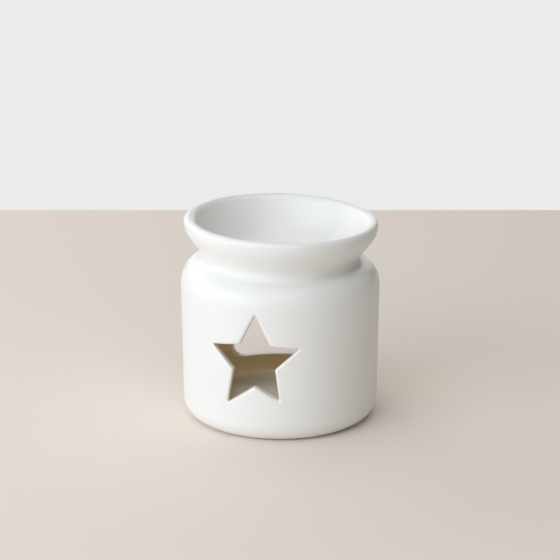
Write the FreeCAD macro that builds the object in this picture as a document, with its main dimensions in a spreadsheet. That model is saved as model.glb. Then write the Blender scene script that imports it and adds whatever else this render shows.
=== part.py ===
import FreeCAD, Part
import math
import os
import Sketcher

# A one-piece-looking ceramic tealight holder and melt burner, in millimetres, +Z up.
# The origin is on the table, on the pot's axis. The star faces -Y, the candle opening +Y.
# Three castings are fired together: the chamber pot, the melt dish that closes its mouth,
# and the ring of slip that bonds the two and fills the neck between them.

doc = FreeCAD.newDocument("tealight_holder")

# ---------------------------------------------------------------- driving dimensions
SIZES = [
    ("body_diameter", 80.0, "widest part of the pot, at the foot of its shoulder"),
    ("base_radius", 39.3, "pot radius where the wall meets the rounded foot"),
    ("foot_round", 8.0, "radius of the rounding under the wall"),
    ("foot_rise", 7.8, "height where that rounding starts"),
    ("foot_inner", 27.0, "inner radius of the dry foot ring"),
    ("foot_recess", 1.2, "how far the underside is let in"),
    ("wall", 3.4, "thickness of the cast pot wall"),
    ("floor_top", 5.0, "height of the chamber floor"),
    ("floor_round", 5.0, "radius between chamber floor and wall"),
    ("shoulder_start", 54.6, "height where the wall turns into the shoulder"),
    ("shoulder_lower", 12.3, "radius of the lower part of the shoulder"),
    ("shoulder_upper", 7.3, "radius of the upper part of the shoulder"),
    ("shoulder_break", 60.4, "height where one shoulder radius meets the other"),
    ("seat_outer", 29.6, "radius where the shoulder ends and the mouth's edge starts"),
    ("seat_inner", 28.8, "inner radius of the mouth's edge"),
    ("star_arms", 5, "arms of the star"),
    ("star_height", 33.5, "centre of the star above the table"),
    ("star_tip", 19.3, "star centre to a tip"),
    ("star_notch", 9.0, "star centre to an inner corner"),
    ("star_tip_round", 0.5, "rounding of each tip, as the cutter leaves it"),
    ("star_notch_round", 1.2, "rounding of each inner corner, worn by the sponge"),
    ("access_half", 27.5, "half the width of the candle opening, and its arch radius"),
    ("access_sill", 12.0, "height of the opening's lower edge"),
    ("access_spring", 18.5, "height where the opening's arch starts"),
    ("access_corner", 4.5, "radius of the opening's lower corners"),
    ("sponged_edge", 0.8, "rounding of the cut edges on the outside"),
    ("total_height", 81.9, "table to the top of the lip"),
    ("seat_height", 67.0, "height about which the dish is set"),
    ("rim_radius", 38.85, "widest part of the dish"),
    ("dish_wall", 3.7, "thickness of the cast dish"),
    ("flare_round", 8.8, "outer radius under the lip"),
    ("flare_slope", 36.4, "lean of the dish's side from upright, degrees"),
    ("bowl_round", 18.0, "outer radius between the dish's side and its floor"),
    ("bowl_drop", 7.5, "how far the dish hangs below its seat height"),
    ("dish_lean", 1.5, "how far the dish was set off level, degrees"),
    ("lean_heading", 12.5, "which way it leans, degrees from +X towards +Y"),
    ("neck_round", 3.6, "radius of the hollow neck between dish and shoulder"),
    ("neck_centre_radius", 35.54, "centre of that hollow, from the axis"),
    ("neck_centre_height", 67.11, "centre of that hollow, above the table"),
    ("neck_upper_turn", 36.0, "where the hollow enters the dish, degrees above level"),
    ("neck_lower_turn", 62.0, "where it enters the shoulder, degrees below level"),
    ("bead_height", 62.0, "lower edge of the slip inside the mouth"),
    ("bead_reach", 4.2, "how far that slip reaches in past the mouth"),
    ("joint_reach", 1.4, "how far out from the mouth's edge the slip meets the dish"),
    ("joint_rise", 2.5, "how far above the seat height it does so"),
]

sheet = doc.addObject("Spreadsheet::Sheet", "Sizes")
for row, (alias, value, meaning) in enumerate(SIZES, start=1):
    sheet.set(f"A{row}", meaning)
    sheet.set(f"B{row}", str(value))
    sheet.setAlias(f"B{row}", alias)
doc.recompute()


def size(alias):
    """The value of one driving dimension."""
    return float(sheet.get(alias))


# ---------------------------------------------------------------- sketching helpers
TIGHT = 0.01    # mm within which two places count as one
START, END, CENTRE = 1, 2, 3
H_AXIS, V_AXIS = -1, -2
ORIGIN = (H_AXIS, START)


def point(x, y):
    return FreeCAD.Vector(x, y, 0)


def line(start, end):
    return Part.LineSegment(point(*start), point(*end))


def arc(centre, radius, from_degrees, to_degrees):
    circle = Part.Circle(point(*centre), FreeCAD.Vector(0, 0, 1), radius)
    return Part.ArcOfCircle(circle, math.radians(from_degrees), math.radians(to_degrees))


def polar(centre, radius, degrees):
    turn = math.radians(degrees)
    return (centre[0] + radius * math.cos(turn), centre[1] + radius * math.sin(turn))


def new_body(name):
    body = doc.addObject("PartDesign::Body", name)
    body.Label = name
    return body


def new_sketch(body, name, plane_role):
    sketch = body.newObject("Sketcher::SketchObject", name)
    plane = next(f for f in body.Origin.OriginFeatures if f.Role == plane_role)
    sketch.AttachmentSupport = [(plane, "")]
    sketch.MapMode = "FlatFace"
    return sketch


def close_outline(sketch, outline, corners):
    """Adds the curves in order and joins each to the next, sharply only at the named corners."""
    sketch.addGeometry(outline, False)
    for i, curve in enumerate(outline):
        j = (i + 1) % len(outline)
        ends = [(curve.StartPoint, START), (curve.EndPoint, END)]
        others = [(outline[j].StartPoint, START), (outline[j].EndPoint, END)]
        pairs = [(a.distanceToPoint(b), p, q) for a, p in ends for b, q in others]
        _, mine, other = min(pairs)
        kind = "Coincident" if i in corners else "Tangent"
        sketch.addConstraint(Sketcher.Constraint(kind, i, mine, j, other))


def end_nearest(sketch, index, place):
    """Which end of a curve lies at a place, because an arc always runs anticlockwise."""
    curve = sketch.Geometry[index]
    near = curve.StartPoint.distanceToPoint(point(*place))
    far = curve.EndPoint.distanceToPoint(point(*place))
    return (index, START if near <= far else END)


def hold(sketch, kind, *members, value, expression):
    """Adds one dimension and binds it to the sheet."""
    flat = [number for member in members for number in member]
    index = sketch.addConstraint(Sketcher.Constraint(kind, *flat, value))
    sketch.setExpression(f"Constraints[{index}]", expression)


def hold_place(sketch, member, place, x_expression=None, y_expression=None):
    """Holds a point's distances from the axes."""
    if x_expression:
        hold(sketch, "DistanceX", ORIGIN, member, value=place[0], expression=x_expression)
    if y_expression:
        hold(sketch, "DistanceY", ORIGIN, member, value=place[1], expression=y_expression)


def relate(sketch, kind, *members):
    sketch.addConstraint(Sketcher.Constraint(kind, *members))


def revolve(body, name, sketch):
    turned = body.newObject("PartDesign::Revolution", name)
    turned.Profile = sketch
    turned.ReferenceAxis = (sketch, ["V_Axis"])
    turned.Angle = 360.0
    return turned


def cut_through(body, name, sketch, reversed_cut):
    """Cuts a sketch through the wall on one side of the pot, and proves that it cut."""
    before = body.Shape.Volume
    pocket = body.newObject("PartDesign::Pocket", name)
    pocket.Profile = sketch
    pocket.Reversed = reversed_cut
    pocket.setExpression("Length", "Sizes.body_diameter")
    doc.recompute()
    if body.Shape.Volume > before - TIGHT:
        raise RuntimeError(f"{name} removed nothing")
    return pocket


# ---------------------------------------------------------------- chamber pot
# Slip-cast: a dry foot ring, a wall that opens very slightly upwards and a round shoulder
# that turns in to the mouth, all of one wall thickness.
pot = new_body("chamber_pot")
pot_sketch = new_sketch(pot, "pot_section", "XZ_Plane")

wall = size("wall")
body_radius = size("body_diameter") / 2
wall_foot = (size("base_radius"), size("foot_rise"))
wall_head = (body_radius, size("shoulder_start"))
wall_lean = math.degrees(math.atan2(wall_head[0] - wall_foot[0], wall_head[1] - wall_foot[1]))
foot_centre = polar(wall_foot, size("foot_round"), 180 - wall_lean)
foot_span = math.degrees(math.asin(foot_centre[1] / size("foot_round")))
foot_outer = polar(foot_centre, size("foot_round"), -foot_span)

lower_centre = polar(wall_head, size("shoulder_lower"), 180 - wall_lean)
break_angle = math.degrees(
    math.asin((size("shoulder_break") - lower_centre[1]) / size("shoulder_lower"))
)
break_point = polar(lower_centre, size("shoulder_lower"), break_angle)
upper_centre = polar(break_point, size("shoulder_upper"), 180 + break_angle)


def on_shoulder(radius, from_axis):
    """Angle on the upper shoulder's arc of this radius, where it is this far from the axis."""
    return math.degrees(math.acos((from_axis - upper_centre[0]) / radius))


outer_end = on_shoulder(size("shoulder_upper"), size("seat_outer"))
inner_upper = size("shoulder_upper") - wall
inner_lower = size("shoulder_lower") - wall
inner_end = on_shoulder(inner_upper, size("seat_inner"))
seat_top = polar(upper_centre, size("shoulder_upper"), outer_end)
seat_bottom = polar(upper_centre, inner_upper, inner_end)
inner_head = polar(lower_centre, inner_lower, -wall_lean)
floor_round = size("floor_round")
corner_height = size("floor_top") + floor_round
corner_drop = inner_head[1] - corner_height + floor_round * math.sin(math.radians(wall_lean))
inner_foot = (
    inner_head[0] - corner_drop * math.tan(math.radians(wall_lean)),
    inner_head[1] - corner_drop,
)
corner_centre = polar(inner_foot, floor_round, 180 - wall_lean)
floor_edge = (corner_centre[0], size("floor_top"))

foot_in_top = (size("foot_inner"), size("foot_recess"))
foot_in_low = (size("foot_inner"), 0)
pot_outline = [
    line((0, size("foot_recess")), foot_in_top),
    line(foot_in_top, foot_in_low),
    line(foot_in_low, foot_outer),
    arc(foot_centre, size("foot_round"), -foot_span, -wall_lean),
    line(wall_foot, wall_head),
    arc(lower_centre, size("shoulder_lower"), -wall_lean, break_angle),
    arc(upper_centre, size("shoulder_upper"), break_angle, outer_end),
    line(seat_top, seat_bottom),
    arc(upper_centre, inner_upper, break_angle, inner_end),
    arc(lower_centre, inner_lower, -wall_lean, break_angle),
    line(inner_head, inner_foot),
    arc(corner_centre, floor_round, 270, 360 - wall_lean),
    line(floor_edge, (0, size("floor_top"))),
    line((0, size("floor_top")), (0, size("foot_recess"))),
]
(UNDERSIDE, RECESS_SIDE, FOOT, FOOT_ARC, WALL_OUT, LOWER_OUT, UPPER_OUT) = range(7)
(SEAT, UPPER_IN, LOWER_IN, WALL_IN, CORNER, CHAMBER_FLOOR, AXIS_LINE) = range(7, 14)
sharp = (UNDERSIDE, RECESS_SIDE, FOOT, UPPER_OUT, SEAT, CHAMBER_FLOOR, AXIS_LINE)
close_outline(pot_sketch, pot_outline, sharp)

relate(pot_sketch, "Horizontal", UNDERSIDE)
relate(pot_sketch, "Vertical", RECESS_SIDE)
relate(pot_sketch, "Horizontal", CHAMBER_FLOOR)
relate(pot_sketch, "PointOnObject", AXIS_LINE, START, V_AXIS)
relate(pot_sketch, "PointOnObject", AXIS_LINE, END, V_AXIS)
relate(pot_sketch, "PointOnObject", FOOT, START, H_AXIS)
relate(pot_sketch, "PointOnObject", FOOT, END, H_AXIS)
relate(pot_sketch, "Coincident", UPPER_OUT, CENTRE, UPPER_IN, CENTRE)
relate(pot_sketch, "Coincident", LOWER_OUT, CENTRE, LOWER_IN, CENTRE)
relate(pot_sketch, "Parallel", WALL_OUT, WALL_IN)
hold_place(pot_sketch, (UNDERSIDE, END), foot_in_top, "Sizes.foot_inner", "Sizes.foot_recess")
hold_place(pot_sketch, (WALL_OUT, START), wall_foot, "Sizes.base_radius", "Sizes.foot_rise")
hold_place(
    pot_sketch, (WALL_OUT, END), wall_head, "Sizes.body_diameter / 2", "Sizes.shoulder_start"
)
hold_place(
    pot_sketch, end_nearest(pot_sketch, LOWER_OUT, break_point), break_point,
    y_expression="Sizes.shoulder_break",
)
hold_place(pot_sketch, (SEAT, START), seat_top, x_expression="Sizes.seat_outer")
hold_place(pot_sketch, (SEAT, END), seat_bottom, x_expression="Sizes.seat_inner")
hold_place(pot_sketch, (CHAMBER_FLOOR, END), (0, size("floor_top")),
           y_expression="Sizes.floor_top")
for index, value, expression in (
    (FOOT_ARC, size("foot_round"), "Sizes.foot_round"),
    (LOWER_OUT, size("shoulder_lower"), "Sizes.shoulder_lower"),
    (UPPER_OUT, size("shoulder_upper"), "Sizes.shoulder_upper"),
    (LOWER_IN, inner_lower, "Sizes.shoulder_lower - Sizes.wall"),
    (CORNER, floor_round, "Sizes.floor_round"),
):
    hold(pot_sketch, "Radius", (index,), value=value, expression=expression)
revolve(pot, "pot_turned", pot_sketch)
doc.recompute()

# One arm of the star is cut straight through the front wall, then repeated round its centre.
star_sketch = new_sketch(pot, "star_arm", "XZ_Plane")
star_sketch.setExpression("AttachmentOffset.Base.y", "Sizes.star_height")
tip, notch, tip_round = size("star_tip"), size("star_notch"), size("star_tip_round")
half_arm = 180 / size("star_arms")
right_notch = polar((0, 0), notch, 90 - half_arm)
left_notch = polar((0, 0), notch, 90 + half_arm)
half_tip = math.degrees(math.atan2(right_notch[0], tip - right_notch[1]))
tip_centre = (0, tip - tip_round / math.sin(math.radians(half_tip)))
star_outline = [
    line((0, 0), right_notch),
    line(right_notch, polar(tip_centre, tip_round, half_tip)),
    arc(tip_centre, tip_round, half_tip, 180 - half_tip),
    line(polar(tip_centre, tip_round, 180 - half_tip), left_notch),
    line(left_notch, (0, 0)),
]
(RIGHT_SPOKE, RIGHT_SIDE, TIP_ARC, LEFT_SIDE, LEFT_SPOKE) = range(5)
close_outline(star_sketch, star_outline, (RIGHT_SPOKE, LEFT_SIDE, LEFT_SPOKE))
sharp_tip = star_sketch.addGeometry(Part.Point(point(0, tip)), True)
relate(star_sketch, "PointOnObject", sharp_tip, START, RIGHT_SIDE)
relate(star_sketch, "PointOnObject", sharp_tip, START, LEFT_SIDE)
relate(star_sketch, "PointOnObject", sharp_tip, START, V_AXIS)
relate(star_sketch, "Coincident", RIGHT_SPOKE, START, *ORIGIN)
relate(star_sketch, "Symmetric", RIGHT_SPOKE, END, LEFT_SPOKE, START, V_AXIS)
hold_place(star_sketch, (sharp_tip, START), (0, tip), y_expression="Sizes.star_tip")
hold_place(
    star_sketch, (RIGHT_SPOKE, END), right_notch,
    "Sizes.star_notch * sin(180 deg / Sizes.star_arms)",
    "Sizes.star_notch * cos(180 deg / Sizes.star_arms)",
)
hold(star_sketch, "Radius", (TIP_ARC,), value=tip_round, expression="Sizes.star_tip_round")
star_cut = cut_through(pot, "star_arm_cut", star_sketch, reversed_cut=True)
star = pot.newObject("PartDesign::PolarPattern", "star_cut")
star.Originals = [star_cut]
star.Axis = (star_sketch, ["N_Axis"])
star.Angle = 360.0
star.setExpression("Occurrences", "Sizes.star_arms")
pot.Tip = star
doc.recompute()

# The candle goes in through an arch at the back.
access_sketch = new_sketch(pot, "candle_opening", "XZ_Plane")
half, sill = size("access_half"), size("access_sill")
spring, round_corner = size("access_spring"), size("access_corner")
access_outline = [
    arc((0, spring), half, 0, 180),
    line((-half, spring), (-half, sill + round_corner)),
    arc((-half + round_corner, sill + round_corner), round_corner, 180, 270),
    line((-half + round_corner, sill), (half - round_corner, sill)),
    arc((half - round_corner, sill + round_corner), round_corner, 270, 360),
    line((half, sill + round_corner), (half, spring)),
]
(ARCH, LEFT_JAMB, LEFT_CORNER, SILL, RIGHT_CORNER, RIGHT_JAMB) = range(6)
close_outline(access_sketch, access_outline, ())
relate(access_sketch, "PointOnObject", ARCH, CENTRE, V_AXIS)
relate(access_sketch, "Vertical", LEFT_JAMB)
relate(access_sketch, "Vertical", RIGHT_JAMB)
relate(access_sketch, "Horizontal", SILL)
relate(access_sketch, "Equal", LEFT_CORNER, RIGHT_CORNER)
hold_place(access_sketch, (ARCH, CENTRE), (0, spring), y_expression="Sizes.access_spring")
hold_place(access_sketch, (SILL, START), (0, sill), y_expression="Sizes.access_sill")
hold(access_sketch, "Radius", (ARCH,), value=half, expression="Sizes.access_half")
hold(access_sketch, "Radius", (LEFT_CORNER,), value=round_corner,
     expression="Sizes.access_corner")
opening_cut = cut_through(pot, "candle_opening_cut", access_sketch, reversed_cut=False)


# The potter sponges the clay while it is leather-hard: first the star's five inner corners,
# right through the wall, and then the edge of each cut on the outside.
def notch_edges():
    """Names of the straight edges that run through the wall at the star's inner corners."""
    names = []
    for number, edge in enumerate(pot.Shape.Edges, start=1):
        first, last = edge.valueAt(edge.FirstParameter), edge.valueAt(edge.LastParameter)
        level = abs(first.x - last.x) < TIGHT and abs(first.z - last.z) < TIGHT
        reach = math.hypot(first.x, first.z - size("star_height"))
        if level and first.y < 0 and abs(reach - notch) < TIGHT:
            names.append(f"Edge{number}")
    return names


def outside_cut_edges():
    """Names of the edges where the cuts meet the outer wall."""
    names = []
    for number, edge in enumerate(pot.Shape.Edges, start=1):
        samples = [edge.valueAt(t) for t in (edge.FirstParameter, edge.LastParameter)]
        samples.append(edge.valueAt((edge.FirstParameter + edge.LastParameter) / 2))
        spans = [math.hypot(p.x, p.y) for p in samples]
        heights = [p.z for p in samples]
        outside = min(spans) > size("base_radius") - wall / 2
        in_wall = min(heights) > wall_foot[1] + TIGHT and max(heights) < wall_head[1] - TIGHT
        on_seam = all(abs(p.y) < TIGHT for p in samples)
        if outside and in_wall and not on_seam:
            names.append(f"Edge{number}")
    return names


def round_edges(name, base, names, expression):
    rounded = pot.newObject("PartDesign::Fillet", name)
    rounded.Base = (base, names)
    rounded.setExpression("Radius", expression)
    doc.recompute()
    return rounded


worn_notches = round_edges("worn_notches", opening_cut, notch_edges(), "Sizes.star_notch_round")
round_edges("sponged_edges", worn_notches, outside_cut_edges(), "Sizes.sponged_edge")

# ---------------------------------------------------------------- melt dish
# A round-bottomed dish of one thickness with a flared side and a rolled lip. It is drawn
# about its own seat height, then set in the mouth a little off level.
dish = new_body("melt_dish")
dish_sketch = new_sketch(dish, "dish_section", "XZ_Plane")

dish_wall = size("dish_wall")
lip = dish_wall / 2
slope = size("flare_slope")
rim_height = size("total_height") - size("seat_height") - lip
flare_out = size("flare_round")
flare_in = flare_out - dish_wall
flare_centre = (size("rim_radius") - flare_out, rim_height)
lip_centre = (size("rim_radius") - lip, rim_height)
bowl_out = size("bowl_round")
bowl_in = bowl_out - dish_wall
under = -size("bowl_drop")
side_top = polar(flare_centre, flare_out, -slope)
bowl_height = under + bowl_out
side_run = side_top[1] - (bowl_height - bowl_out * math.sin(math.radians(slope)))
side_low = (
    side_top[0] - side_run * math.tan(math.radians(slope)),
    side_top[1] - side_run,
)
bowl_centre = (side_low[0] - bowl_out * math.cos(math.radians(slope)), bowl_height)
dish_floor = under + dish_wall
dish_outline = [
    arc(lip_centre, lip, 0, 180),
    arc(flare_centre, flare_in, -slope, 0),
    line(polar(flare_centre, flare_in, -slope), polar(bowl_centre, bowl_in, -slope)),
    arc(bowl_centre, bowl_in, 270, 360 - slope),
    line((bowl_centre[0], dish_floor), (0, dish_floor)),
    line((0, dish_floor), (0, under)),
    line((0, under), (bowl_centre[0], under)),
    arc(bowl_centre, bowl_out, 270, 360 - slope),
    line(side_low, side_top),
    arc(flare_centre, flare_out, -slope, 0),
]
(LIP, FLARE_IN, SIDE_IN, BOWL_IN, FLOOR_IN, DISH_AXIS) = range(6)
(FLOOR_OUT, BOWL_OUT, SIDE_OUT, FLARE_OUT) = range(6, 10)
close_outline(dish_sketch, dish_outline, (FLOOR_IN, DISH_AXIS))
relate(dish_sketch, "Horizontal", LIP, CENTRE, LIP, START)
relate(dish_sketch, "Horizontal", FLOOR_IN)
relate(dish_sketch, "Horizontal", FLOOR_OUT)
relate(dish_sketch, "PointOnObject", DISH_AXIS, START, V_AXIS)
relate(dish_sketch, "PointOnObject", DISH_AXIS, END, V_AXIS)
relate(dish_sketch, "Coincident", FLARE_IN, CENTRE, FLARE_OUT, CENTRE)
relate(dish_sketch, "Coincident", BOWL_IN, CENTRE, BOWL_OUT, CENTRE)
hold_place(dish_sketch, (LIP, START), (size("rim_radius"), rim_height), "Sizes.rim_radius",
           "Sizes.total_height - Sizes.seat_height - Sizes.dish_wall / 2")
hold(dish_sketch, "Radius", (LIP,), value=lip, expression="Sizes.dish_wall / 2")
hold(dish_sketch, "Radius", (FLARE_OUT,), value=flare_out, expression="Sizes.flare_round")
hold(dish_sketch, "Radius", (BOWL_OUT,), value=bowl_out, expression="Sizes.bowl_round")
hold(dish_sketch, "Radius", (BOWL_IN,), value=bowl_in,
     expression="Sizes.bowl_round - Sizes.dish_wall")
hold(dish_sketch, "DistanceY", (DISH_AXIS, END), ORIGIN, value=-under,
     expression="Sizes.bowl_drop")
hold(dish_sketch, "Angle", (V_AXIS,), (SIDE_OUT,), value=-math.radians(slope),
     expression="-Sizes.flare_slope")
revolve(dish, "dish_turned", dish_sketch)
doc.recompute()

# The dish is turned to face its lean, then tipped, so that the lean is about its own Y axis.
facing = FreeCAD.Rotation(FreeCAD.Vector(0, 0, 1), size("lean_heading"))
tipped = FreeCAD.Rotation(FreeCAD.Vector(0, 1, 0), size("dish_lean"))
dish.Placement = FreeCAD.Placement(
    FreeCAD.Vector(0, 0, size("seat_height")), facing.multiply(tipped)
)
doc.recompute()

# ---------------------------------------------------------------- luting seam
# Slip fills the space between the pot's mouth and the dish. Outside it is smoothed into the
# hollow neck, which takes up half of the dish's lean, and inside it is left as a flat bead.
seam_blank = new_body("seam_blank")
seam_sketch = new_sketch(seam_blank, "seam_section", "XZ_Plane")
neck_centre = (size("neck_centre_radius"), size("neck_centre_height"))
neck_round = size("neck_round")
neck_start = 180 - size("neck_upper_turn")
neck_end = 180 + size("neck_lower_turn")
neck_top = polar(neck_centre, neck_round, neck_start)
neck_low = polar(neck_centre, neck_round, neck_end)
in_shoulder = (size("seat_inner") + wall / 2, size("bead_height"))
in_bowl = (size("seat_inner") - size("bead_reach"), size("bead_height"))
in_side = (
    size("seat_outer") + size("joint_reach"),
    size("seat_height") + size("joint_rise"),
)
seam_outline = [
    arc(neck_centre, neck_round, neck_start, neck_end),
    line(neck_low, in_shoulder),
    line(in_shoulder, in_bowl),
    line(in_bowl, in_side),
    line(in_side, neck_top),
]
(NECK, THROUGH_SHOULDER, BEAD, THROUGH_BOWL, THROUGH_SIDE) = range(5)
close_outline(seam_sketch, seam_outline, range(5))
relate(seam_sketch, "Horizontal", BEAD)
hold_place(seam_sketch, (NECK, CENTRE), neck_centre, "Sizes.neck_centre_radius",
           "Sizes.neck_centre_height")
hold(seam_sketch, "Radius", (NECK,), value=neck_round, expression="Sizes.neck_round")
hold_place(seam_sketch, (NECK, START), neck_top, x_expression=(
    "Sizes.neck_centre_radius - Sizes.neck_round * cos(Sizes.neck_upper_turn * 1 deg)"))
hold_place(seam_sketch, (NECK, END), neck_low, x_expression=(
    "Sizes.neck_centre_radius - Sizes.neck_round * cos(Sizes.neck_lower_turn * 1 deg)"))
hold_place(seam_sketch, (BEAD, START), in_shoulder, "Sizes.seat_inner + Sizes.wall / 2",
           "Sizes.bead_height")
hold_place(seam_sketch, (BEAD, END), in_bowl, x_expression=(
    "Sizes.seat_inner - Sizes.bead_reach"))
hold_place(seam_sketch, (THROUGH_BOWL, END), in_side, "Sizes.seat_outer + Sizes.joint_reach",
           "Sizes.seat_height + Sizes.joint_rise")
revolve(seam_blank, "seam_turned", seam_sketch)
half_tipped = FreeCAD.Rotation(FreeCAD.Vector(0, 1, 0), size("dish_lean") / 2)
seam_blank.Placement = FreeCAD.Placement(
    FreeCAD.Vector(), facing.multiply(half_tipped), FreeCAD.Vector(0, 0, size("seat_height"))
)
doc.recompute()

seam_on_pot = doc.addObject("Part::Cut", "seam_on_pot")
seam_on_pot.Base = seam_blank
seam_on_pot.Tool = pot
seam = doc.addObject("Part::Cut", "luting_seam")
seam.Label = "luting_seam"
seam.Base = seam_on_pot
seam.Tool = dish
doc.recompute()

# ---------------------------------------------------------------- check and write
for item in doc.Objects:
    if "Invalid" in item.State or "Error" in item.State:
        raise RuntimeError(f"{item.Label} didn't compute: {item.State}")

os.makedirs("parts", exist_ok=True)
for node in (pot, dish, seam):
    shape = node.Shape
    if shape.isNull() or not shape.isValid() or len(shape.Solids) != 1:
        raise RuntimeError(f"{node.Label} isn't one sound solid")
    box = shape.optimalBoundingBox(False, False)
    print(f"{node.Label}: {shape.Volume / 1000:.2f} cm3, z {box.ZMin:.2f} to {box.ZMax:.2f}")
    shape.exportStep(f"parts/{node.Label}.step")
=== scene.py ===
import math

import bpy
import numpy as np
from mathutils import Matrix, Vector


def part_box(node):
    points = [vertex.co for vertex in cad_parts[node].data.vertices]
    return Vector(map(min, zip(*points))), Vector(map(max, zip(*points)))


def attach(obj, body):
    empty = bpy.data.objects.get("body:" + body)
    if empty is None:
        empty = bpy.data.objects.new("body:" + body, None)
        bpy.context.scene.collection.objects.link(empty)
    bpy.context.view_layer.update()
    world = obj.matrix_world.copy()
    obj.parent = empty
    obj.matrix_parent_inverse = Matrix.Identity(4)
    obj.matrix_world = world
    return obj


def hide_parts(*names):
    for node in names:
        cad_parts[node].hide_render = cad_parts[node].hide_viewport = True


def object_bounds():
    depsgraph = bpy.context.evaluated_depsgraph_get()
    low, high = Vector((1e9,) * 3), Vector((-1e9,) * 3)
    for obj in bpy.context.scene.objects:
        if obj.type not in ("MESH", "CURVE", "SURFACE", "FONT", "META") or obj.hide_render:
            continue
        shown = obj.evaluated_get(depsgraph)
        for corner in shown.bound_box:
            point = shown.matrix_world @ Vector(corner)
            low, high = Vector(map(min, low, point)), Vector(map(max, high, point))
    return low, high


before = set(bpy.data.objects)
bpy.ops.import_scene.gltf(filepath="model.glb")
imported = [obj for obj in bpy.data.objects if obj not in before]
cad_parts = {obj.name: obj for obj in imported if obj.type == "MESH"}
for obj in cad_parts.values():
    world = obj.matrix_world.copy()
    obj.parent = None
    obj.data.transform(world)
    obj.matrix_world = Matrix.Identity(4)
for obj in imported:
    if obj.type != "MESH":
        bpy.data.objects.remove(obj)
cad_low, cad_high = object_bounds()


# ------------------------------------------------------------------ chamber pot
# The slip-cast earthenware pot that the tealight burns in: foot, wall, shoulder and mouth in
# one casting of even thickness. A star is cut through the front and an arch through the back
# while the clay is leather-hard, the cuts are sponged soft, and the pot is dipped in glaze.
MM = 0.001
WALL, SKIN = 3.4, 0.002                     # SKIN keeps the ware just inside the solid's box
pot_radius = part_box("chamber_pot")[1].x / MM - SKIN
HEAD = (pot_radius, 54.6)                   # where the wall turns into the shoulder
FOOT = (pot_radius - 0.7, 7.8)              # where the wall turns into the rounded foot
FOOT_ROUND = 8.0
FLOOR_TOP, FLOOR_ROUND = 5.0, 5.0
LOWER_ROUND, UPPER_ROUND, BREAK_HEIGHT = 12.3, 7.3, 60.4
SEAT_OUTER, SEAT_INNER, SEAT_EASE = 29.6, 28.8, 0.3
wall_lean = math.atan2(HEAD[0] - FOOT[0], HEAD[1] - FOOT[1])


def polar(centre, radius, angle):
    """A point at an angle in radians round a centre."""
    return np.array([centre[0] + radius * math.cos(angle), centre[1] + radius * math.sin(angle)])


def arc(centre, radius, start, end, spacing):
    """Points along an arc, both ends included, in millimetres."""
    count = max(2, math.ceil(abs(end - start) * radius / spacing))
    return [polar(centre, radius, start + (end - start) * i / count) for i in range(count + 1)]


def straight(start, end, spacing):
    """Points along a straight line, both ends included."""
    start, end = np.array(start, float), np.array(end, float)
    count = max(1, math.ceil(np.linalg.norm(end - start) / spacing))
    return [start + (end - start) * i / count for i in range(count + 1)]


def joined(*stretches):
    """One run of points from several that meet end to end."""
    points = list(stretches[0])
    for stretch in stretches[1:]:
        points.extend(stretch[1:])
    return points


lower_centre = polar(HEAD, LOWER_ROUND, math.pi - wall_lean)
break_angle = math.asin((BREAK_HEIGHT - lower_centre[1]) / LOWER_ROUND)
upper_centre = polar(lower_centre, LOWER_ROUND - UPPER_ROUND, break_angle)
foot_centre = (31.3, FOOT[1])


def wall_radius(height, depth):
    """Radius of the outer face, or of the inner face at the wall's depth, at this height."""
    height = np.asarray(height, float)
    upright = HEAD[0] + (height - HEAD[1]) * math.tan(wall_lean) - depth / math.cos(wall_lean)
    rise = np.clip(height - lower_centre[1], 0.0, LOWER_ROUND - depth)
    shoulder = lower_centre[0] + np.sqrt((LOWER_ROUND - depth) ** 2 - rise**2)
    corner_middle = upright - FLOOR_ROUND / math.cos(wall_lean)
    drop = np.clip(FLOOR_TOP + FLOOR_ROUND - height, 0.0, FLOOR_ROUND)
    corner = corner_middle + np.sqrt(FLOOR_ROUND**2 - drop**2)
    radius = np.where(height > HEAD[1], shoulder, upright)
    return np.where((depth > 0) & (drop > 0), corner, radius)


WINDOW_LOW, WINDOW_HIGH, ROWS, COLUMNS = 8.0, 58.0, 63, 320
window_heights = np.linspace(WINDOW_LOW, WINDOW_HIGH, ROWS + 1)
outer_wall = [np.array([float(wall_radius(z, 0.0)), z]) for z in window_heights]
inner_wall = [np.array([float(wall_radius(z, WALL)), z]) for z in window_heights[::-1]]


def shoulder_angle(radius, height):
    """Angle on a lower shoulder arc at this height."""
    return math.asin((height - lower_centre[1]) / radius)


# The base has a shallow recess, so that the pot stands on a ring. The ring's edges are eased.
RECESS, RING_INNER, EASE, RING_EASE, RING_TURN = 1.2, 27.0, 0.6, 0.3, 0.02
inner_round = LOWER_ROUND - WALL
outer_mouth = math.acos((SEAT_OUTER + SEAT_EASE - upper_centre[0]) / UPPER_ROUND)
inner_mouth = math.acos((SEAT_INNER + SEAT_EASE - upper_centre[0]) / (UPPER_ROUND - WALL))
seat_start = polar(upper_centre, UPPER_ROUND, outer_mouth)
seat_end = polar(upper_centre, UPPER_ROUND - WALL, inner_mouth)
foot_turn = math.asin(FOOT[1] / FOOT_ROUND)
ring_edge = polar(foot_centre, FOOT_ROUND, -foot_turn)
underneath = joined(
    straight((0, RECESS), (RING_INNER - EASE, RECESS), 2.0),
    arc((RING_INNER - EASE, RECESS - EASE), EASE, math.pi / 2, 0, 0.2),
    arc((RING_INNER + EASE, RECESS - EASE), EASE, math.pi, 1.5 * math.pi, 0.2),
    straight((RING_INNER + EASE, 0), (ring_edge[0] - RING_EASE, 0), 1.5),
    arc(foot_centre, FOOT_ROUND, RING_TURN - foot_turn, -wall_lean, 0.6),
)
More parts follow.
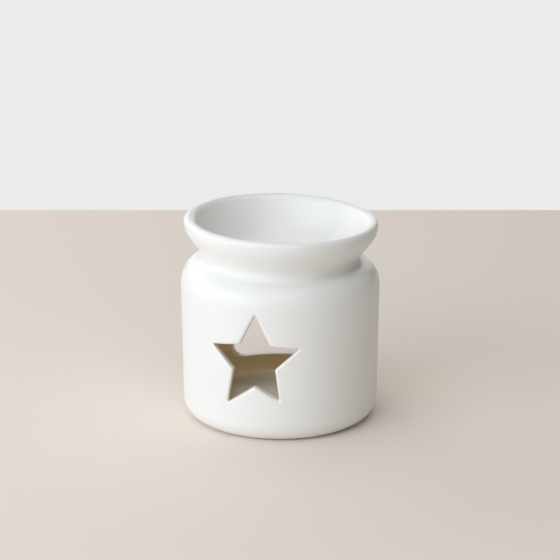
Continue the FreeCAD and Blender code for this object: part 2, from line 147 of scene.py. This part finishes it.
over_mouth = joined(
    arc(lower_centre, LOWER_ROUND, shoulder_angle(LOWER_ROUND, WINDOW_HIGH), break_angle, 0.7),
    arc(upper_centre, UPPER_ROUND, break_angle, outer_mouth, 0.6),
    straight(seat_start, seat_end, 0.6),
    arc(upper_centre, UPPER_ROUND - WALL, inner_mouth, break_angle, 0.6),
    arc(lower_centre, inner_round, break_angle, shoulder_angle(inner_round, WINDOW_HIGH), 0.7),
)
corner_start = float(wall_radius(WINDOW_LOW, WALL))
corner_centre = (
    float(wall_radius(FLOOR_TOP + FLOOR_ROUND, WALL)) - FLOOR_ROUND,
    FLOOR_TOP + FLOOR_ROUND,
)
corner_angle = -math.acos(min(1.0, (corner_start - corner_centre[0]) / FLOOR_ROUND))
chamber_floor = joined(
    arc(corner_centre, FLOOR_ROUND, corner_angle, -math.pi / 2, 0.6),
    straight((corner_centre[0], FLOOR_TOP), (0, FLOOR_TOP), 2.0),
)
section = [*underneath, *outer_wall[1:], *over_mouth[1:], *inner_wall[1:], *chamber_floor[1:]]
outer_row = len(underneath) - 1
inner_row = outer_row + ROWS + len(over_mouth) - 1


class Surface:
    """A mesh under construction: points in millimetres and faces that go anticlockwise."""

    def __init__(self):
        self.points, self.faces, self.count = [], [], 0

    def add(self, points):
        """Adds points and returns their indices."""
        first = self.count
        self.points.append(np.asarray(points, float).reshape(-1, 3))
        self.count += len(self.points[-1])
        return np.arange(first, self.count)

    def strip(self, one, other):
        """Quads between two closed rings of the same length."""
        turn_one, turn_other = np.roll(one, -1), np.roll(other, -1)
        self.faces.extend(np.stack([one, turn_one, turn_other, other], 1).tolist())

    def object(self, name, material, settle, flipped=False):
        """The finished piece, settled by this share, with its faces turned over if need be."""
        faces = [face[::-1] for face in self.faces] if flipped else self.faces
        mesh = bpy.data.meshes.new(name)
        mesh.from_pydata((settled(np.vstack(self.points), settle) * MM).tolist(), [], faces)
        mesh.polygons.foreach_set("use_smooth", [True] * len(mesh.polygons))
        mesh.materials.append(material)
        mesh.update()
        piece = bpy.data.objects.new(name, mesh)
        bpy.context.scene.collection.objects.link(piece)
        return piece


def turned(radius, heading, height):
    """Points at a radius and a heading, which is 0 at the front and grows to the right."""
    radius, heading, height = np.broadcast_arrays(radius, heading, height)
    return np.stack([radius * np.sin(heading), -radius * np.cos(heading), height], -1)


SETTLE, SETTLE_HEADING = math.radians(1.98), math.radians(15.2)
SETTLE_FROM, SETTLE_FULL = 54.3, 70.0


def settled(points, share):
    """The top of the soft pot sank to one side under the dish, more so the higher it is."""
    rise = np.clip((points[:, 2] - SETTLE_FROM) / (SETTLE_FULL - SETTLE_FROM), 0, 1)
    side = points[:, 0] * math.cos(SETTLE_HEADING) + points[:, 1] * math.sin(SETTLE_HEADING)
    sunk = points.copy()
    sunk[:, 2] -= side * math.tan(SETTLE) * rise**2 * (3 - 2 * rise) * share
    return sunk


def throw(surface, profile, place=np.asarray):
    """Adds a ring of points for each place of a profile, or one point where it meets the axis."""
    counts = [1 if radius < AT_AXIS else COLUMNS for radius, _ in profile]
    return [
        surface.add(place(turned(radius, headings[:count], height)))
        for (radius, height), count in zip(profile, counts)
    ]


def skin(surface, lathe_rings, gap):
    """Joins each ring to the next, but for the faces of the gap."""
    for row, (here, there) in enumerate(zip(lathe_rings, lathe_rings[1:])):
        for column in np.flatnonzero(~gap[row]):
            after = (column + 1) % COLUMNS
            if len(here) == 1:
                surface.faces.append([here[0], there[after], there[column]])
            elif len(there) == 1:
                surface.faces.append([here[column], here[after], there[0]])
            else:
                surface.faces.append([here[column], here[after], there[after], there[column]])


AT_AXIS = 1e-6
headings = np.arange(COLUMNS) * 2 * math.pi / COLUMNS
pot_surface = Surface()
rings = throw(pot_surface, section)

# The star's own outline, seen from the front: five arms with a slightly rounded tip each and
# worn inner corners. Every corner is a touch different, as a hand-held cutter leaves it. Each
# has its distance from the star's middle in millimetres and its bearing from the top in degrees.
STAR_HEIGHT, TIP_ROUND, NOTCH_ROUND = 33.5, 0.45, 0.9
TIPS = ((19.7, 1.4), (18.3, 71.3), (18.5, 147.7), (21.4, 212.4), (18.6, 286.2))
NOTCHES = ((9.5, 42.5), (8.6, 107.5), (10.0, 180.6), (9.5, 247.0), (9.2, 319.5))


def star_corners():
    """The star's ten corners from its top tip, going clockwise, with their rounding."""
    corners = []
    for tip, notch in zip(TIPS, NOTCHES):
        for (reach, bearing), rounding in ((tip, TIP_ROUND), (notch, NOTCH_ROUND)):
            angle = math.radians(90 - bearing)
            corners.append((polar((0, STAR_HEIGHT), reach, angle), rounding))
    return corners


def rounded_outline(corners, spacing):
    """The polygon's outline with each corner turned into an arc, as one closed run."""
    run = []
    for i, (corner, radius) in enumerate(corners):
        back = corners[i - 1][0] - corner
        ahead = corners[(i + 1) % len(corners)][0] - corner
        back, ahead = back / np.linalg.norm(back), ahead / np.linalg.norm(ahead)
        half = math.acos(float(np.clip(back @ ahead, -1, 1))) / 2
        middle = (back + ahead) / np.linalg.norm(back + ahead)
        centre = corner + middle * radius / math.sin(half)
        first = corner + back * radius / math.tan(half) - centre
        last = corner + ahead * radius / math.tan(half) - centre
        start, sweep = math.atan2(first[1], first[0]), math.pi - 2 * half
        sweep *= math.copysign(1, first[0] * last[1] - first[1] * last[0])
        run.extend(arc(centre, radius, start, start + sweep, spacing / 3))
    return np.array(run)


def measured(run):
    """A closed run with its first point again at the end, and the distance along it."""
    closed = np.vstack([run, run[:1]])
    steps = np.linalg.norm(np.diff(closed, axis=0), axis=1)
    return closed, np.concatenate([[0], np.cumsum(steps)])


def bearing_of(across, up):
    """The clockwise angle from straight up, from 0 to a full turn."""
    return (math.pi / 2 - np.arctan2(up, across)) % (2 * math.pi)


def resampled(run, starts, counts, emphasis):
    """Even points along a closed run, so many between each start and the next, clustered at the
    starts by the emphasis from 0 to 1."""
    closed, along = measured(run)
    length = along[-1]
    places = []
    for i, count in enumerate(counts):
        start = starts[i]
        end = starts[(i + 1) % len(starts)]
        span = (end - start) % length or length
        share = np.arange(count) / count
        share = share - emphasis * np.sin(2 * math.pi * share) / (2 * math.pi)
        places.extend(((start + span * share) % length).tolist())
    return np.stack([np.interp(places, along, closed[:, axis]) for axis in (0, 1)], 1)


def place_along(run, point):
    """How far along a closed run its nearest point to this one is."""
    return measured(run)[1][int(np.argmin(np.linalg.norm(run - point, axis=1)))]


def window_border(first_column, last_column, first_row):
    """The lathe's own points round a window, clockwise from the middle of its top edge."""
    low, high = first_row, first_row + ROWS
    middle = (first_column + last_column) // 2
    top = high if section[high][1] > section[low][1] else low
    bottom = low if top == high else high
    step = -1 if top > bottom else 1
    border = [(top, c) for c in range(middle, last_column)]
    border += [(r, last_column) for r in range(top, bottom, step)]
    border += [(bottom, c) for c in range(last_column, first_column, -1)]
    border += [(r, first_column) for r in range(bottom, top, -step)]
    border += [(top, c) for c in range(first_column, middle)]
    return border


BLEND_STEPS = 14


def cut_window(first_column, last_column, first_row, depth, rings_of, centre, inwards):
    """Fills the gap left in the lathe with rings that close in on a cut edge.

    rings_of gives, for the border's points, the edge's rings as (across, height, set-in), from
    the outermost to the cut itself. Returns the indices of the last ring."""
    border = window_border(first_column, last_column, first_row)
    indices = np.array([rings[row][column % COLUMNS] for row, column in border])
    heading = np.array([(column - centre) * 2 * math.pi / COLUMNS for _, column in border])
    height = np.array([section[row][1] for row, _ in border])
    edge_rings = rings_of(heading * HEAD[0], height)
    across, level, _ = edge_rings[0]
    edge_heading = np.arcsin(across / wall_radius(level, depth))
    side = 1 if centre == 0 else -1
    turn = centre * 2 * math.pi / COLUMNS
    last = indices
    for i in range(1, BLEND_STEPS):
        share = i / BLEND_STEPS
        there = heading + (edge_heading - heading) * share
        up = height + (level - height) * share
        ring = pot_surface.add(turned(wall_radius(up, depth), there + turn, up))
        pot_surface.strip(*((last, ring) if inwards else (ring, last)))
        last = ring
    for across, level, set_in in edge_rings:
        out = np.sqrt(wall_radius(level, depth) ** 2 - across**2)
        out = out + (set_in if inwards else -set_in)
        ring = pot_surface.add(np.stack([across * side, -out * side, level], -1))
        pot_surface.strip(*((last, ring) if inwards else (ring, last)))
        last = ring
    return last


SPONGE_WIDTH, SPONGE_DEPTH, ROUND_STEPS, SPONGE_APPROACH = 1.5, 0.95, 8, 1.4
OUTSIDE_SHARE, INSIDE_SHARE = 1.0, 0.55     # how much of the sponging each side of a cut gets


def sponged(scale):
    """How far out from a cut, and how far set in, the sponged edge's rings are, in mm."""
    steps = []
    for i in range(ROUND_STEPS + 1):
        turn = math.pi / 2 * (1 - i / ROUND_STEPS)
        out = SPONGE_WIDTH * scale * (1 - math.cos(turn))
        steps.append((out, SPONGE_DEPTH * scale * (1 - math.sin(turn))))
    return [(SPONGE_WIDTH * scale * SPONGE_APPROACH, 0.0), *steps]


# APOTHEM is how far the star's sides are from its middle. The sponging spreads less at the
# tips, and the mesh's points gather at the corners.
star_run = rounded_outline(star_corners(), 0.5)
APOTHEM, TIP_SPREAD, CORNER_PULL = 7.7, 1.4, 0.55


def star_rings(scale):
    """The star's rings for cut_window, sponged by this scale."""
    def rings_of(across, height):
        bearing = bearing_of(across, height - STAR_HEIGHT)
        keys = [0] + [int(np.argmin(np.abs(bearing - math.radians(36 * k)))) for k in range(1, 10)]
        counts = np.diff(keys + [len(bearing)])
        starts = [place_along(star_run, corner) for corner, _ in star_corners()]
        outline = resampled(star_run, starts, counts, CORNER_PULL) - (0, STAR_HEIGHT)
        reach = np.linalg.norm(outline, axis=1)[:, None]
        found = []
        for out, set_in in sponged(scale):
            grown = outline * (1 + out * np.minimum(1 / APOTHEM, TIP_SPREAD / reach))
            found.append((grown[:, 0], grown[:, 1] + STAR_HEIGHT, np.full(len(grown), set_in)))
        return found
    return rings_of


# The candle opening, seen from behind: an arch on short jambs with rounded lower corners.
HALF_WIDTH, SILL, SPRING, CORNER, ARCH_MIDDLE = 27.5, 12.0, 18.5, 4.5, 27.0


def arch_rings(scale):
    """The candle opening's rings for cut_window, sponged by this scale."""
    def rings_of(across, height):
        run = []
        for point in arc((0, SPRING), HALF_WIDTH, math.pi / 2, 0, 0.2):
            run.append((point, point - (0, SPRING)))
        for point in arc((HALF_WIDTH - CORNER, SILL + CORNER), CORNER, 0, -math.pi / 2, 0.2):
            run.append((point, point - (HALF_WIDTH - CORNER, SILL + CORNER)))
        run += [(p * (-1, 1), n * (-1, 1)) for p, n in reversed(run)]
        places = np.array([p for p, _ in run])
        normals = np.array([n / np.linalg.norm(n) for _, n in run])
        bearing = bearing_of(across, height - ARCH_MIDDLE)
        closed, along = measured(places)
        run_bearing = bearing_of(closed[:, 0], closed[:, 1] - ARCH_MIDDLE)
        run_bearing[-1] = 2 * math.pi
        even = np.linspace(0, along[-1], len(bearing), endpoint=False)
        matched = np.interp(bearing, run_bearing, along)
        place = (even + matched) / 2
        turned_normals = np.vstack([normals, normals[:1]])
        point = np.stack([np.interp(place, along, closed[:, k]) for k in (0, 1)], 1)
        normal = np.stack([np.interp(place, along, turned_normals[:, k]) for k in (0, 1)], 1)
        normal /= np.linalg.norm(normal, axis=1)[:, None]
        found = []
        for out, set_in in sponged(scale):
            grown = point + normal * out
            found.append((grown[:, 0], grown[:, 1], np.full(len(grown), set_in)))
        return found
    return rings_of


STAR_SPAN, ARCH_SPAN = 33, 50
windows = [(-STAR_SPAN, STAR_SPAN, 0, star_rings)]
windows.append((COLUMNS // 2 - ARCH_SPAN, COLUMNS // 2 + ARCH_SPAN, COLUMNS // 2, arch_rings))
gap = np.zeros((len(section), COLUMNS), bool)
for first, last, _, _ in windows:
    for column in range(first, last):
        gap[outer_row:outer_row + ROWS, column % COLUMNS] = True
        gap[inner_row:inner_row + ROWS, column % COLUMNS] = True
skin(pot_surface, rings, gap)
TUNNEL_STEPS = 5
for first, last, centre, rings_for in windows:
    outside = cut_window(first, last, outer_row, 0.0, rings_for(OUTSIDE_SHARE), centre, False)
    inside = cut_window(first, last, inner_row, WALL, rings_for(INSIDE_SHARE), centre, True)
    everything = np.vstack(pot_surface.points)
    near, far = everything[outside], everything[inside]
    previous = outside
    for i in range(1, TUNNEL_STEPS):
        ring = pot_surface.add(near + (far - near) * i / TUNNEL_STEPS)
        pot_surface.strip(ring, previous)
        previous = ring
    pot_surface.strip(inside, previous)


def linear(code):
    """An sRGB hex colour as linear red, green, blue and alpha."""
    channels = [int(code[i:i + 2], 16) / 255 for i in (1, 3, 5)]
    curve = [c / 12.92 if c <= 0.04045 else ((c + 0.055) / 1.055) ** 2.4 for c in channels]
    return (*curve, 1.0)


def add_node(tree, kind, inputs=None, **settings):
    """Adds a node with its settings, and sets or links its inputs."""
    node = tree.nodes.new(kind)
    for name, value in settings.items():
        setattr(node, name, value)
    for socket, value in (inputs or {}).items():
        if isinstance(value, bpy.types.NodeSocket):
            tree.links.new(value, node.inputs[socket])
        else:
            node.inputs[socket].default_value = value
    return node


# The glaze pools very slightly in patches, and its surface has faint broad waves.
POOLING, WAVE, WAVE_DEPTH = 18.2, 8.3, 0.12


def white_glaze():
    """Opaque white dipping glaze with a soft gloss. Where the stored share says so it turns pale
    tan, which is unglazed clay on the foot and painted warm shade inside the chamber. It looks
    smooth and milky, and its highlights are wide and a little uneven."""
    material = bpy.data.materials.new("white_dipped_glaze")
    material.use_nodes = True
    tree = material.node_tree
    tree.nodes.clear()
    place = add_node(tree, "ShaderNodeTexCoord").outputs["Object"]
    white_share = add_node(tree, "ShaderNodeAttribute", attribute_name="glaze").outputs["Fac"]
    pooling = add_node(tree, "ShaderNodeTexNoise", {
        "Vector": place, "Scale": 1 / (POOLING * MM), "Detail": 2.0,
    })
    tone = add_node(tree, "ShaderNodeMix", {
        "Factor": pooling.outputs["Fac"], "A": linear("#F3F3F0"), "B": linear("#EFEFEB"),
    }, data_type="RGBA")
    # Pale tan: unglazed clay on the foot ring and underside, painted warm shade inside the
    # chamber.
    body = add_node(tree, "ShaderNodeMix", {
        "Factor": white_share, "A": linear("#FAEAC6"), "B": tone.outputs["Result"],
    }, data_type="RGBA")
    waves = add_node(tree, "ShaderNodeTexNoise", {
        "Vector": place, "Scale": 1 / (WAVE * MM), "Detail": 1.0,
    })
    bump = add_node(tree, "ShaderNodeBump", {
        "Height": waves.outputs["Fac"], "Distance": WAVE_DEPTH * MM, "Strength": 0.25,
    })
    shader = add_node(tree, "ShaderNodeBsdfPrincipled", {
        "Base Color": body.outputs["Result"], "Roughness": 0.3, "IOR": 1.5,
        "Normal": bump.outputs["Normal"],
    })
    add_node(tree, "ShaderNodeOutputMaterial", {"Surface": shader.outputs["BSDF"]})
    return material


glaze = white_glaze()
pot = pot_surface.object("chamber_pot_ware", glaze, 1.0)


def store_white_share(piece, tan_share):
    """Stores how much of each point is white glaze rather than pale tan (unglazed clay or painted
    shade), from a function of place in millimetres.
    """
    places = np.zeros(len(piece.data.vertices) * 3, np.float32)
    piece.data.vertices.foreach_get("co", places)
    places = places.reshape(-1, 3).astype(float) / MM
    attribute = piece.data.attributes.new("glaze", "FLOAT", "POINT")
    attribute.data.foreach_set("value", (1 - tan_share(places)).astype(np.float32))


# Inside the chamber the ware is painted pale tan as warm shade, from a little way in through
# the cuts, and the floor gets only a tenth of it. The foot ring is wiped clean, so that it
# doesn't stick to the kiln shelf.
SHADE_FROM, SHADE_FADE, FLOOR_SHADE_SHARE = 1.6, 1.4, 0.1
CHAMBER_LOW, UNDERSIDE, WIPED, WIPED_FADE = 4.0, 3.0, 0.6, 0.3


def pot_bare_clay_and_painted_shade(places):
    """How much is pale tan: painted warm shade inside the chamber, and unglazed clay on the foot
    ring and the underside.
    """
    radius, height = np.hypot(places[:, 0], places[:, 1]), places[:, 2]
    below = wall_radius(np.clip(height, WINDOW_LOW, BREAK_HEIGHT), 0.0) - radius
    above = UPPER_ROUND - np.hypot(radius - upper_centre[0], height - upper_centre[1])
    depth = np.where(height < BREAK_HEIGHT, below, above)
    inside = np.clip((depth - SHADE_FROM) / SHADE_FADE, 0, 1) * (height > CHAMBER_LOW)
    inside = inside * np.where(height < FLOOR_TOP + 0.5, FLOOR_SHADE_SHARE, 1.0)
    foot = np.clip((WIPED - height) / WIPED_FADE, 0, 1)
    under = (height < UNDERSIDE) & (radius < RING_INNER + 0.5)
    return np.maximum(np.maximum(inside, foot), under)


store_white_share(pot, pot_bare_clay_and_painted_shade)
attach(pot, "root")
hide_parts("chamber_pot")


# ------------------------------------------------------------------ melt dish
# The flared dish that holds a wax melt over the flame. A separate casting of one thickness
# with a rolled lip, set in the pot's mouth a little off level and glazed with it.
SEAT_HEIGHT, TOTAL_HEIGHT, DISH_WALL, RIM_RADIUS = 67.0, 81.9, 3.7, 38.85
rim_height = TOTAL_HEIGHT - SEAT_HEIGHT - DISH_WALL / 2
FLARE, SLOPE, BOWL, DROP = 8.8, math.radians(36.4), 18.0, 7.5
LEAN, HEADING = math.radians(1.5), math.radians(12.5)
flare_centre = (RIM_RADIUS - FLARE, rim_height)
side_top = polar(flare_centre, FLARE, -SLOPE)
bowl_level = BOWL - DROP
side_run = side_top[1] - (bowl_level - BOWL * math.sin(SLOPE))
bowl_middle = side_top[0] - side_run * math.tan(SLOPE) - BOWL * math.cos(SLOPE)
bowl_centre = (bowl_middle, bowl_level)

# The lip is rolled over softly inwards and runs straight down into the bowl.
LIP = 3.2
lip_centre = (RIM_RADIUS - DISH_WALL / 2, rim_height + DISH_WALL / 2 - LIP)
lip_reach = (lip_centre[0] - bowl_centre[0], lip_centre[1] - bowl_centre[1])
lip_turn = math.acos((BOWL - DISH_WALL + LIP) / math.hypot(*lip_reach))
inner_slope = lip_turn - math.atan2(lip_reach[1], lip_reach[0])
dish_section = joined(
    straight((0, -DROP), (bowl_middle, -DROP), 1.5),
    arc(bowl_centre, BOWL, -math.pi / 2, -SLOPE, 0.6),
    straight(polar(bowl_centre, BOWL, -SLOPE), side_top, 0.6),
    arc(flare_centre, FLARE, -SLOPE, 0, 0.4),
    arc((RIM_RADIUS - DISH_WALL / 2, rim_height), DISH_WALL / 2, 0, math.pi / 2, 0.2),
    arc(lip_centre, LIP, math.pi / 2, math.pi - inner_slope, 0.25),
    straight(polar(lip_centre, LIP, math.pi - inner_slope),
             polar(bowl_centre, BOWL - DISH_WALL, -inner_slope), 0.6),
    arc(bowl_centre, BOWL - DISH_WALL, -inner_slope, -math.pi / 2, 0.6),
    straight((bowl_middle, DISH_WALL - DROP), (0, DISH_WALL - DROP), 1.5),
)
lean = np.array(Matrix.Rotation(HEADING, 3, "Z") @ Matrix.Rotation(LEAN, 3, "Y"))


def seated(points):
    """Points of the dish's own frame, leaned and lifted to its seat."""
    return np.asarray(points) @ lean.T + (0, 0, SEAT_HEIGHT)


dish_surface = Surface()
dish_rings = throw(dish_surface, dish_section, seated)
skin(dish_surface, dish_rings, np.zeros((len(dish_section), COLUMNS), bool))
dish = dish_surface.object("melt_dish_ware", glaze, 0.0)
SHADED_RADIUS, SHADED_HEIGHT = 31.5, 70.0


def dish_painted_shade(places):
    """The underside of the dish, over the flame, is painted pale tan as warm shade, like the
    chamber's inside.
    """
    radius, height = np.hypot(places[:, 0], places[:, 1]), places[:, 2]
    across = np.maximum(radius - bowl_middle, 0)
    reach = np.hypot(across, height - SEAT_HEIGHT - bowl_level)
    hidden = (radius < SHADED_RADIUS) & (height < SHADED_HEIGHT)
    return ((reach > BOWL - DISH_WALL / 2) & hidden).astype(float)


store_white_share(dish, dish_painted_shade)
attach(dish, "root")
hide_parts("melt_dish")


# ------------------------------------------------------------------ luting seam
# The ring of slip that bonds dish to pot. It is pressed into the joint and smoothed outside
# with a wet finger, so that dish, neck and shoulder run into one another under the glaze.
NECK_WIDE, NECK_TIGHT, NECK_STEPS, SIDE_SHARE = 3.5, 2.6, 12, 0.95
own_headings = headings - HEADING
neck_surface = Surface()


def across_and_up(points):
    """Distance from the pot's axis, and height, of each point."""
    return np.stack([np.hypot(points[:, 0], points[:, 1]), points[:, 2]], -1)


# In each half-plane through the axis the hollow is an arc that meets both the dish's side and
# the shoulder without a corner. It is tighter where the dish was pressed lower.
side_low = polar(bowl_centre, BOWL, -SLOPE)
side_touch = side_top + (side_low - side_top) * SIDE_SHARE
side_start = across_and_up(settled(seated(turned(side_top[0], own_headings, side_top[1])), -1))
side_end = across_and_up(settled(seated(turned(side_touch[0], own_headings, side_touch[1])), -1))
down = side_end - side_start
down /= np.linalg.norm(down, axis=1)[:, None]
outward = np.stack([-down[:, 1], down[:, 0]], -1)
pressed = (1 + np.sin(own_headings)) / 2
neck_radius = (NECK_WIDE + (NECK_TIGHT - NECK_WIDE) * pressed)[:, None]
start = side_start + outward * neck_radius - upper_centre
along = (start * down).sum(1)
spare = (start**2).sum(1) - (UPPER_ROUND + neck_radius[:, 0]) ** 2
travel = -along - np.sqrt(along**2 - spare)
hollow_centre = upper_centre + start + down * travel[:, None]
from_angle = np.arctan2(-outward[:, 1], -outward[:, 0])
to_shoulder = upper_centre - hollow_centre
to_angle = np.arctan2(to_shoulder[:, 1], to_shoulder[:, 0]) % (2 * math.pi)
neck_rings = []


def add_neck_ring(places):
    """Adds a ring from a radius and a height for each heading."""
    neck_rings.append(neck_surface.add(turned(places[:, 0], headings, places[:, 1])))


# Past each tangent point the slip feathers out and sinks into the ware.
FEATHER = ((1.6, 0.5), (1.1, 0.05), (0.6, 0.01))
for run, sink in FEATHER:
    add_neck_ring(hollow_centre - outward * (neck_radius + sink) - down * run)
for i in range(NECK_STEPS + 1):
    angle = from_angle + (to_angle - from_angle) * i / NECK_STEPS
    way = np.stack([np.cos(angle), np.sin(angle)], -1)
    add_neck_ring(hollow_centre + way * neck_radius)
for run, sink in reversed(FEATHER):
    angle = to_angle - math.pi - run / UPPER_ROUND
    way = np.stack([np.cos(angle), np.sin(angle)], -1)
    add_neck_ring(upper_centre + way * (UPPER_ROUND - sink))
# Inside, a flat bead under the dish, and then back up through the joint, within the ware.
BEAD, BEAD_REACH, BEAD_RISE = 62.0, 3.6, 3.0
for radius, height in (
    (SEAT_INNER + 2.4, BEAD + 0.6),
    (SEAT_INNER + 0.4, BEAD),
    (SEAT_INNER - BEAD_REACH, BEAD),
    (SEAT_INNER - 1.6, BEAD + BEAD_RISE),
    (SEAT_OUTER + 1.4, SEAT_HEIGHT + 1.5),
):
    neck_rings.append(neck_surface.add(turned(radius, headings, height)))
for here, there in zip(neck_rings, neck_rings[1:] + neck_rings[:1]):
    neck_surface.strip(here, there)
neck = neck_surface.object("luting_seam_slip", glaze, 1.0, flipped=True)
# Inside the pot the seam is painted pale tan as warm shade, like the chamber's inside.
store_white_share(neck, lambda places: (across_and_up(places)[:, 0] < SEAT_OUTER).astype(float))
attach(neck, "root")
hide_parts("luting_seam")


# ------------------------------------------------------------------ table and backdrop
# A pale table whose back edge is a little behind the holder, and a bright white wall that goes
# down behind the edge. To the sides the table goes on, so it fills the other views.
def matt(name, code, roughness):
    """A painted surface of one colour that shows no highlight."""
    material = bpy.data.materials.new(name)
    material.use_nodes = True
    shader = material.node_tree.nodes["Principled BSDF"]
    shader.inputs["Base Color"].default_value = linear(code)
    shader.inputs["Roughness"].default_value = roughness
    return material


def bright(name, code):
    """An evenly lit sheet that shows in just this colour."""
    material = bpy.data.materials.new(name)
    material.use_nodes = True
    tree = material.node_tree
    tree.nodes.clear()
    glow = add_node(tree, "ShaderNodeEmission", {"Color": linear(code)})
    add_node(tree, "ShaderNodeOutputMaterial", {"Surface": glow.outputs["Emission"]})
    return material


def sheet_object(name, corners, faces, material):
    """A part of the stage, made of flat sheets."""
    mesh = bpy.data.meshes.new(name)
    mesh.from_pydata(corners, [], [tuple(face) for face in faces])
    mesh.materials.append(material)
    piece = bpy.data.objects.new(name, mesh)
    bpy.context.scene.collection.objects.link(piece)


VIEW = math.radians(15.2)
view_right = Vector((math.cos(VIEW), math.sin(VIEW), 0))
view_away = Vector((-math.sin(VIEW), math.cos(VIEW), 0))


def staged(right, away, up):
    """A place measured to the viewer's right, away from the viewer, and up, in metres."""
    return view_right * right + view_away * away + Vector((0, 0, up))


PIT, EDGE, BACK, DEEP, FAR = 0.45, 0.307, 1.2, -0.6, 4.0
table_outline = [(-FAR, -FAR), (FAR, -FAR), (FAR, FAR), (PIT, FAR), (PIT, EDGE), (-PIT, EDGE),
                 (-PIT, FAR), (-FAR, FAR)]
sheet_object("table", [staged(right, away, 0) for right, away in table_outline],
             [range(8)], matt("pale_table", "#F0E6DC", 0.7))
pit_outline = [(-PIT, EDGE), (-PIT, BACK), (PIT, BACK), (PIT, EDGE)]
pit_corners = [staged(right, away, DEEP) for right, away in pit_outline]
pit_corners += [staged(right, away, 0) for right, away in pit_outline]
pit_corners += [staged(right, BACK, -DEEP) for right in (-PIT, PIT)]
sheet_object("bright_wall", pit_corners,
             [(0, 1, 2, 3), (0, 4, 5, 1), (3, 2, 6, 7), (1, 8, 9, 2)],
             bright("bright_wall", "#EAEBED"))


# ------------------------------------------------------------------ light and camera
# Cool daylight from large windows on the left, a softer share from the ceiling and the front,
# and a little from behind. The camera looks down at the holder with a long lens.
def soft_light(name, place, aim, width, height, power, code):
    """A rectangular area light at a place, turned to its aim, in metres and watts."""
    light = bpy.data.lights.new(name, "AREA")
    light.shape, light.size, light.size_y = "RECTANGLE", width, height
    light.energy, light.color = power, linear(code)[:3]
    lamp = bpy.data.objects.new(name, light)
    lamp.location = place
    lamp.rotation_euler = (Vector(aim) - Vector(place)).to_track_quat("-Z", "Y").to_euler()
    bpy.context.scene.collection.objects.link(lamp)


middle = (cad_low + cad_high) / 2
soft_light("window_light", staged(-0.85, -0.85, 0.5), middle, 1.1, 0.9, 8.8, "#EDF4FF")
soft_light("side_light", staged(-1.2, 0.0, 0.25), middle, 0.9, 0.6, 3.6, "#EDF8FF")
soft_light("far_side_light", staged(-0.75, 0.75, 0.5), middle, 0.9, 0.8, 3.5, "#FFFBF1")
soft_light("ceiling_light", staged(0, 0, 1.3), middle, 1.4, 1.4, 7.0, "#FCFBFF")
soft_light("front_light", staged(0, -1.0, 1.0), middle, 1.2, 0.9, 4.1, "#FCFFFC")
soft_light("low_front_light", staged(0.1, -1.5, 0.5), middle, 1.2, 0.7, 1.7, "#FFFFFF")
soft_light("warm_light", staged(0.75, 0.75, 0.6), middle, 0.8, 0.7, 0.4, "#FFF3CC")
soft_light("back_light", staged(0, 1.1, 0.35), middle, 1.0, 0.5, 0.9, "#FFFFFF")

world = bpy.data.worlds.new("room")
world.use_nodes = True
world.node_tree.nodes["Background"].inputs["Color"].default_value = linear("#FFF6E8")
world.node_tree.nodes["Background"].inputs["Strength"].default_value = 0.03
bpy.context.scene.world = world
bpy.context.scene.view_settings.view_transform = "Standard"

camera = bpy.data.cameras.new("camera")
camera.sensor_width = 36.0
camera.lens = 153.4
camera.clip_start, camera.clip_end = 0.05, 20.0
eye = bpy.data.objects.new("camera", camera)
eye.location = staged(-0.0001, -0.9182, 0.3389)
PITCH = math.radians(17.14)
aim = view_away * math.cos(PITCH) - Vector((0, 0, math.sin(PITCH)))
eye.rotation_euler = aim.to_track_quat("-Z", "Y").to_euler()
bpy.context.scene.collection.objects.link(eye)
bpy.context.scene.camera = eye

bpy.context.view_layer.update()
